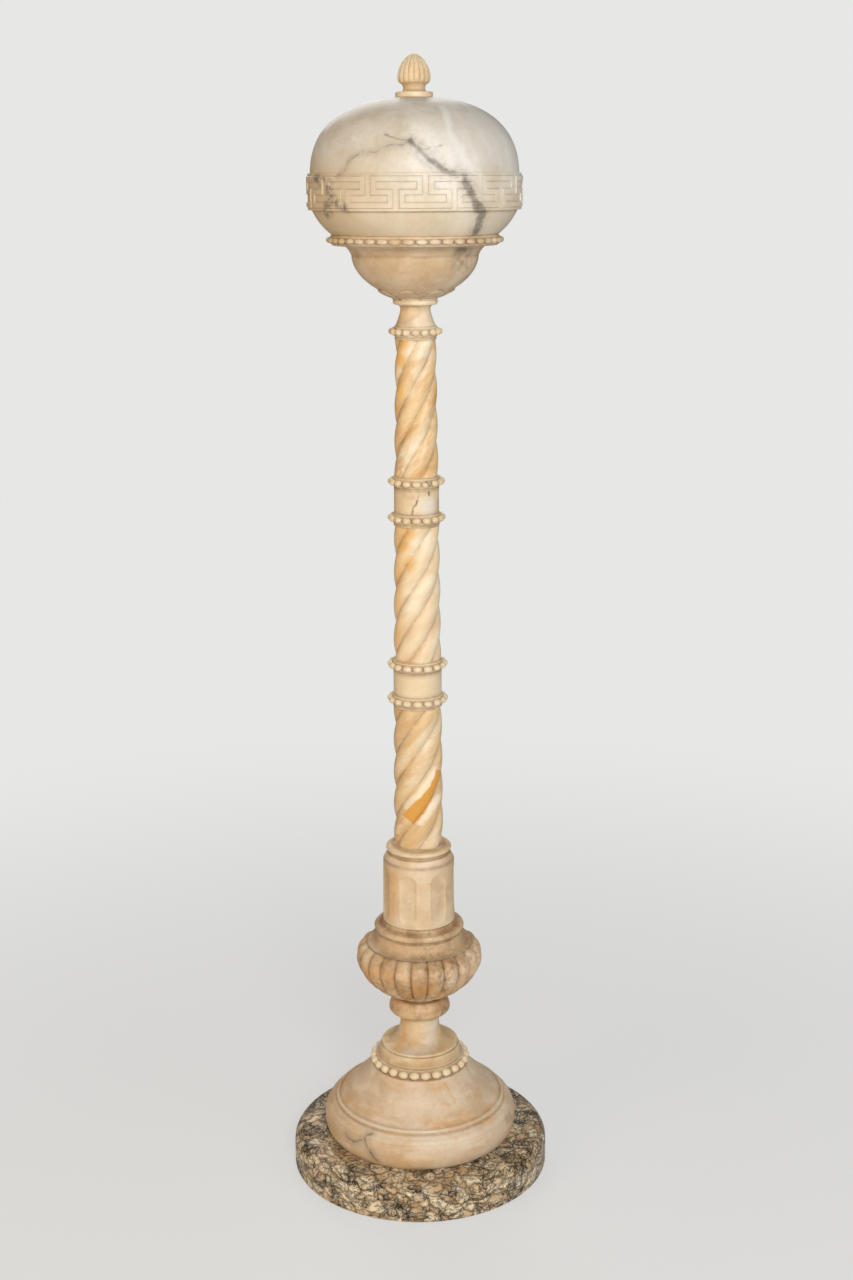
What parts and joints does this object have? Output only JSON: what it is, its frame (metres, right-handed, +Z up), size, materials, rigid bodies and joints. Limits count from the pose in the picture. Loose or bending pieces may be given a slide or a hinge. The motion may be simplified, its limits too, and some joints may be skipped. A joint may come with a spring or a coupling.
{
  "type": "floor lamp",
  "caption": "Neoclassical carved alabaster floor lamp: lidded globe with a key band and a bowl on a rope-twist column, gadrooned urn and round marble plinth.",
  "frame": {"origin": "middle of the felt's underside, on the floor", "axes": "+Z up along the column, -Y the front of the picture, +Y the back with the cord inlet"},
  "size_m": [0.404, 0.404, 1.7045],
  "materials": {
    "alabaster_cream": "satin polished",
    "alabaster_honey": "satin polished",
    "alabaster_tan": "satin polished",
    "alabaster_pale": "satin polished",
    "breccia_marble": "polished",
    "green_felt": "matt",
    "brass": "satin",
    "steel": "brushed",
    "porcelain": "glazed",
    "opal_glass": "frosted",
    "black_glass": "gloss"
  },
  "bodies": {
    "root": {"base_felt": "green_felt", "marble_plinth": "breccia_marble", "cord_bush": "brass", "base_washer": "steel", "base_nut": "brass", "centre_tube": "steel", "foot": "alabaster_cream", "foot_bead_ring": "alabaster_cream", "foot_socle": "alabaster_cream", "pedestal_neck": "alabaster_cream", "cushion_ring": "alabaster_cream", "urn": "alabaster_tan", "urn_ring": "alabaster_cream", "fluted_drum": "alabaster_cream", "drum_ring": "alabaster_cream", "lower_shaft": "alabaster_honey", "lower_collar_bottom_ring": "alabaster_cream", "lower_collar": "alabaster_cream", "lower_collar_top_ring": "alabaster_cream", "middle_shaft": "alabaster_honey", "upper_collar_bottom_ring": "alabaster_cream", "upper_collar": "alabaster_cream", "upper_collar_top_ring": "alabaster_cream", "upper_shaft": "alabaster_honey", "capital_bead_ring": "alabaster_cream", "capital": "alabaster_cream", "bowl": "alabaster_tan", "bowl_washer": "steel", "bowl_nut": "brass", "bowl_bead_rim": "alabaster_tan", "holder_cap": "brass", "holder_core": "porcelain", "holder_sleeve": "brass", "holder_contact": "brass", "holder_shell": "brass"},
    "globe": {"globe": "alabaster_pale"},
    "lid": {"dome": "alabaster_pale", "finial": "alabaster_tan", "finial_stud": "steel", "finial_washer": "brass", "finial_nut": "brass"},
    "bulb": {"bulb_glass": "opal_glass", "bulb_cap": "steel", "bulb_insulator": "black_glass", "bulb_contact": "steel"}
  },
  "joints": [
    {"name": "globe_lift", "type": "slide", "parent": "root", "child": "globe", "axis": [0, 0, 1], "range_m": [0, 0.12]},
    {"name": "lid_lift", "type": "slide", "parent": "globe", "child": "lid", "axis": [0, 0, 1], "range_m": [0, 0.1]},
    {"name": "bulb_unscrew", "type": "slide", "parent": "root", "child": "bulb", "axis": [0, 0, 1], "range_m": [0, 0.026]}
  ]
}
